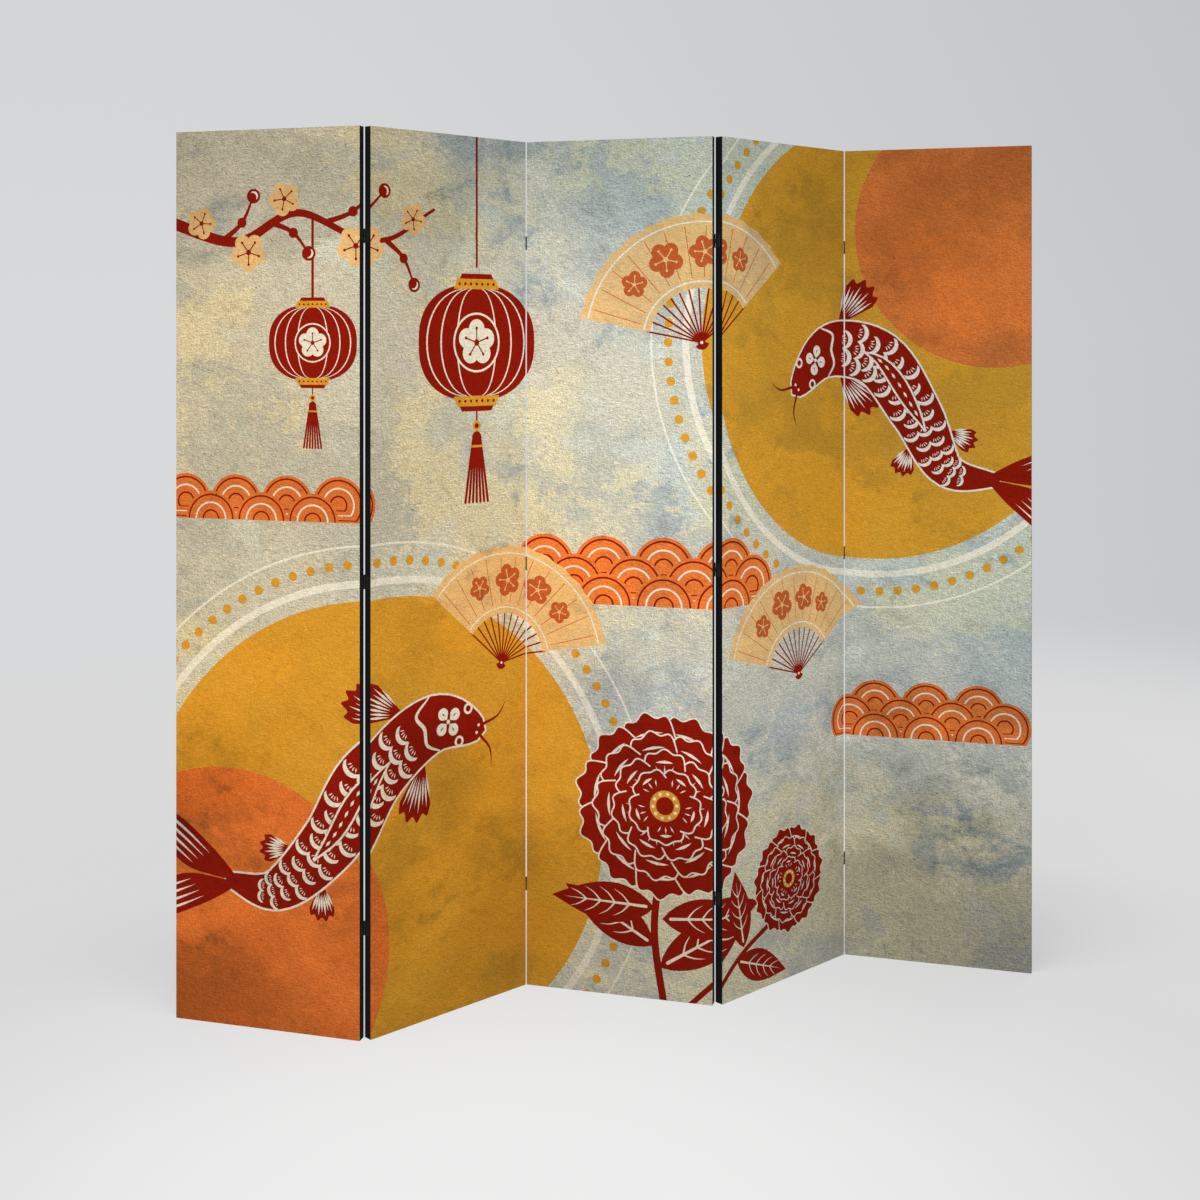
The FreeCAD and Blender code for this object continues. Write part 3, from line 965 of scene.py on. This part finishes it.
def cover_panel(panel, mesh, material, replaced, flat):
    """A new cloth or sheet piece, attached to its panel's body in place of the panel's plain CAD piece."""
    piece = add_piece(mesh.name, mesh, material)
    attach(piece, panel.body)
    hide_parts(panel.node(replaced))
    battens = [panel.node(batten) for batten in ("stile_left", "stile_right", "end_rails")]


def finish_nodes(nodes, material):
    """Gives CAD nodes a material in place of their plain one."""
    for name in nodes:
        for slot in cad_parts[name].material_slots:
            slot.material = material


def colour_setting(name, description, *shade):
    """Setting for a colour, given as a display shows it, from 0 to 255."""
    return FloatVectorProperty(name=name, description=description, default=linear(*shade), subtype="COLOR",
                               min=0, max=1)


def number_setting(name, description, default, **limits):
    """Setting for a number."""
    return FloatProperty(name=name, description=description, default=default, **limits)


def length_setting(name, description, default, **limits):
    """Setting for a length in metres."""
    return number_setting(name, description, default, unit="LENGTH", **limits)


def power_setting(name, description, default):
    """Setting for a light's power in watts."""
    return number_setting(name, description, default, unit="POWER")


class PrintColours(bpy.types.PropertyGroup):
    """Colours of the print and the pitch of its canvas."""
    paper: colour_setting("Paper", "Mottled ground of the print", 196, 192, 173)
    red: colour_setting("Red", "Deep red of the main motifs", 133, 20, 4)
    gold: colour_setting("Gold", "Golden yellow discs", 204, 145, 43)
    orange: colour_setting("Orange", "Orange discs and waves", 217, 114, 50)
    apricot: colour_setting("Apricot", "Fans and branch flowers", 218, 176, 117)
    cream: colour_setting("Cream", "Fine cuts and rings", 222, 214, 193)
    rust: colour_setting("Rust", "Flowers on the fans", 184, 86, 41)
    thread_pitch: length_setting("Thread pitch", "Distance between canvas threads", 0.0011, min=0.0003)


class ScreenSizes(bpy.types.PropertyGroup):
    """Sizes of the soft coverings."""
    cloth_slack: length_setting("Cloth slack", "How far the back cloth sinks between the battens", 0.0018,
                                min=0)
    backing_grid: length_setting("Backing grid", "Pitch of the grid pressed into the back cloth", 0.0024,
                                 min=0.0005)
    edging_thickness: length_setting("Edging thickness", "Thickness of the black edge strips", 0.0005,
                                     min=0.0001)
    edging_rounding: length_setting("Edging rounding", "Rounding along the strips' corners", 0.00012, min=0)


class StudioSettings(bpy.types.PropertyGroup):
    """Camera, lights and floor of the studio."""
    lens: number_setting("Lens", "Focal length in millimetres", 50.0)
    shift: number_setting("Shift", "Vertical shift of the level camera", -0.2206)
    camera_height: length_setting("Camera height", "Height of the lens above the floor", 1.2333)
    camera_turn: number_setting("Camera turn", "Turn of the view from straight ahead", math.radians(13.805),
                                subtype="ANGLE")
    corner_aside: length_setting("Corner aside",
                                 "How far left of the view's axis the first panel's corner is", 0.7658)
    corner_away: length_setting("Corner away", "Distance from the lens to the first panel's corner", 3.0122)
    key_power: power_setting("Key light", "Power of the large left light", 95.0)
    fill_power: power_setting("Fill light", "Power of the right light", 38.0)
    rear_power: power_setting("Rear light", "Power of the soft light behind the screen", 70.0)
    surroundings: number_setting("Surroundings", "Strength of the pale surroundings", 1.0, min=0)
    floor_glow: number_setting("Floor glow", "Evenly lit share of the floor's brightness", 0.805, min=0)
    floor_falloff: number_setting("Floor falloff", "How much darker the floor is far from its bright middle",
                                  0.17, min=0)
    shade_depth: number_setting("Shade depth", "Darkness of the soft shade behind the screen's foot", 0.62,
                                min=0, max=1)
    shade_reach: length_setting("Shade reach", "How far that soft shade reaches", 0.7, min=0)
    fade_start: length_setting("Fade start", "Radius where the floor starts to fade out", 2.4)
    fade_end: length_setting("Fade end", "Radius where the floor has faded out", 5.0)


class SCREEN_OT_canvases(bpy.types.Operator):
    """Make the printed canvas of every panel"""
    bl_idname = "screen.canvases"
    bl_label = "Printed canvases"

    def execute(self, context):
        shapes = artwork()
        material = printed_canvas(context.scene.print_colours)
        for panel in map(Panel, panel_numbers):
            cover_panel(panel, print_mesh(panel, shapes), material, "print_sheet",
                        (panel.width, panel.height))
        return {"FINISHED"}


class SCREEN_OT_back_cloths(bpy.types.Operator):
    """Make the black cloth on the back of every panel"""
    bl_idname = "screen.back_cloths"
    bl_label = "Back cloths"

    def execute(self, context):
        sizes = context.scene.screen_sizes
        material = backing_cloth(sizes)
        for panel in map(Panel, panel_numbers):
            cover_panel(panel, cloth_mesh(panel, sizes.cloth_slack), material, "back_cloth",
                        (panel.width, panel.height))
        return {"FINISHED"}


class SCREEN_OT_edgings(bpy.types.Operator):
    """Make the black strips round the edges of every panel"""
    bl_idname = "screen.edgings"
    bl_label = "Edge strips"

    def execute(self, context):
        sizes = context.scene.screen_sizes
        material = edging_cloth()
        for panel in map(Panel, panel_numbers):
            strip_width = panel.depth - panel.print_thickness - panel.cloth_thickness
            mesh = edging_mesh(panel, sizes.edging_thickness, sizes.edging_rounding)
            cover_panel(panel, mesh, material, "edge_strips",
                        (strip_width, 2 * (panel.width + panel.height)))
        return {"FINISHED"}


class SCREEN_OT_frames(bpy.types.Operator):
    """Finish the wooden frames inside the panels"""
    bl_idname = "screen.frames"
    bl_label = "Wooden frames"

    def execute(self, context):
        upright = pine("pine upright", upwards)
        # Every other panel stands the same way, so two materials are enough for the level battens
        level = [pine("pine level", Panel(number).across) for number in panel_numbers[:2]]
        for number in panel_numbers:
            panel = Panel(number)
            finish_nodes([panel.node("stile_left"), panel.node("stile_right")], upright)
            finish_nodes([panel.node("end_rails"), panel.node("middle_rail")], level[(number - 1) % 2])
        return {"FINISHED"}


class SCREEN_OT_fittings(bpy.types.Operator):
    """Finish the hinges, screws and staples"""
    bl_idname = "screen.fittings"
    bl_label = "Hinges, screws and staples"

    def execute(self, context):
        hinges = ["fold_{}_{}".format(fold, piece) for fold in fold_numbers
                  for piece in ("leaves_left", "leaves_right", "pins")]
        screws, staples = (["panel_{}_{}".format(number, piece) for number in panel_numbers]
                           for piece in ("screws", "staples"))
        finish_nodes(hinges + screws, black_steel())
        finish_nodes(staples, zinc_wire())
        return {"FINISHED"}


def studio_floor(studio):
    """Wide pale glowing floor, with a painted pool of light brightest in front of the screen and a painted
    shade behind the screen, that fades out far from the screen.
    """
    shader = Shader("studio floor", Specular_IOR_Level=0.1, Emission_Strength=1.0)
    place = shader.place()
    grain = shader.noise(place, 2.0, 3, 0.5)

    def distance_from(spot):
        return shader.number(shader.vector_math("DISTANCE", place, spot)["Value"])

    def hidden(towards):
        """How much the screen hides of what lies in one slanting direction."""
        seen = shader.node("ShaderNodeAmbientOcclusion", {"samples": 6},
                           {"Distance": studio.shade_reach, "Normal": shader.joined(towards)})
        return 1 - shader.number(seen.outputs["AO"])

    # Painted soft shade behind the screen, where it hides more of the key light's side than of the far side
    shade = (hidden((-0.4, -0.85, 0.3)) - hidden((0.4, 0.85, 0.3))).at_least(0)
    # Painted pool of light: the floor's glow is brightest round this spot and darker away from it
    painted_light_centre = (-0.35, -0.7, 0)
    glow = studio.floor_glow - distance_from(painted_light_centre).above(0.775, 0.575) * studio.floor_falloff
    shader.output("Base Color", shader.grey(0.05 + grain * 0.01))
    shader.output("Emission Color", shader.grey(glow * (1 - shade * studio.shade_depth)))
    shader.output("Roughness", 0.7 + grain * 0.1)
    fade = distance_from((0, 0, 0)).above((studio.fade_start + studio.fade_end) / 2,
                                          (studio.fade_end - studio.fade_start) / 2)
    clear = shader.node("ShaderNodeBsdfTransparent").outputs[0]
    blend = shader.node("ShaderNodeMixShader", None, {0: fade, 1: shader.surface.outputs[0], 2: clear})
    shader.feed(shader.tree.nodes["Material Output"].inputs["Surface"], blend.outputs[0])
    mesh = bpy.data.meshes.new("studio_floor")
    build = bmesh.new()
    bmesh.ops.create_circle(build, cap_ends=True, segments=96, radius=studio.fade_end * 1.05)
    build.to_mesh(mesh)
    build.free()
    return add_piece("studio_floor", mesh, shader.material)


def pale_surroundings(strength):
    """Studio walls far away: pale on the left, a little darker on the right and above."""
    world = bpy.data.worlds.new("pale surroundings")
    shader = Shader(world)
    across, _, up = shader.parts(shader.node("ShaderNodeTexCoord").outputs["Generated"])
    wall = shader.mix(across.above(0.55, 0.6), (0.69, 0.695, 0.71, 1), (0.455, 0.465, 0.485, 1))
    shader.output("Color", shader.tinted(wall, 1 - up.at_least(0) * 0.22))
    shader.output("Strength", strength)
    return world


def area_light(name, place, size, power, colour):
    """Soft square light that faces the middle of the screen."""
    light = bpy.data.lights.new(name, "AREA")
    light.size = size
    light.energy = power
    light.color = colour
    lamp = bpy.data.objects.new(name, light)
    lamp.location = place
    middle = Vector((0, 0, cad_box[1][2] / 2))
    lamp.rotation_euler = (middle - lamp.location).to_track_quat("-Z", "Y").to_euler()
    lamp.visible_camera = False
    bpy.context.scene.collection.objects.link(lamp)


def level_camera(studio):
    """Level camera, placed from the first panel's lower front left corner."""
    turn = studio.camera_turn
    ahead = Vector((math.sin(turn), math.cos(turn), 0))
    right = Vector((math.cos(turn), -math.sin(turn), 0))
    corner = Panel(panel_numbers[0]).matrix.translation
    eye = corner + studio.corner_aside * right - studio.corner_away * ahead
    lens = bpy.data.cameras.new("camera")
    lens.lens = studio.lens
    lens.sensor_width = 36.0
    lens.shift_y = studio.shift
    camera = bpy.data.objects.new("camera", lens)
    camera.location = (eye.x, eye.y, studio.camera_height)
    camera.rotation_euler = (math.pi / 2, 0, -turn)
    bpy.context.scene.collection.objects.link(camera)
    return camera


class SCREEN_OT_studio(bpy.types.Operator):
    """Set up the floor, the lights, the surroundings and the camera"""
    bl_idname = "screen.studio"
    bl_label = "Studio"

    def execute(self, context):
        studio = context.scene.studio_settings
        studio_floor(studio)
        for name, place, size, power, colour in (
                ("key light", (-3.4, -3.6, 3.3), 3.0, studio.key_power, (1.0, 0.985, 0.96)),
                ("fill light", (3.6, -3.4, 2.2), 3.0, studio.fill_power, (0.96, 0.98, 1.0)),
                ("rear light", (3.6, 2.6, 3.0), 2.0, studio.rear_power, (1.0, 1.0, 1.0))):
            area_light(name, place, size, power, colour)
        context.scene.world = pale_surroundings(studio.surroundings)
        context.scene.view_settings.view_transform = "Standard"
        context.scene.camera = level_camera(studio)
        return {"FINISHED"}


setting_groups = {"print_colours": PrintColours, "screen_sizes": ScreenSizes,
                  "studio_settings": StudioSettings}
operators = (SCREEN_OT_canvases, SCREEN_OT_back_cloths, SCREEN_OT_edgings, SCREEN_OT_frames,
             SCREEN_OT_fittings, SCREEN_OT_studio)


class SCREEN_PT_panel(bpy.types.Panel):
    """Settings and steps of the folding screen"""
    bl_idname = "SCREEN_PT_panel"
    bl_label = "Folding Screen"
    bl_space_type = "VIEW_3D"
    bl_region_type = "UI"
    bl_category = "Folding Screen"

    def draw(self, context):
        for group_name, group in setting_groups.items():
            box = self.layout.box()
            for name in group.__annotations__:
                box.prop(getattr(context.scene, group_name), name)
        for operator in operators:
            self.layout.operator(operator.bl_idname)


classes = tuple(setting_groups.values()) + operators + (SCREEN_PT_panel,)


def register():
    for each in classes:
        bpy.utils.register_class(each)
    for name, group in setting_groups.items():
        setattr(bpy.types.Scene, name, PointerProperty(type=group))


def unregister():
    for name in setting_groups:
        delattr(bpy.types.Scene, name)
    for each in reversed(classes):
        bpy.utils.unregister_class(each)


def main():
    register()
    bpy.ops.screen.canvases()
    bpy.ops.screen.back_cloths()
    bpy.ops.screen.edgings()
    bpy.ops.screen.frames()
    bpy.ops.screen.fittings()
    bpy.ops.screen.studio()


if __name__ == "__main__":
    main()
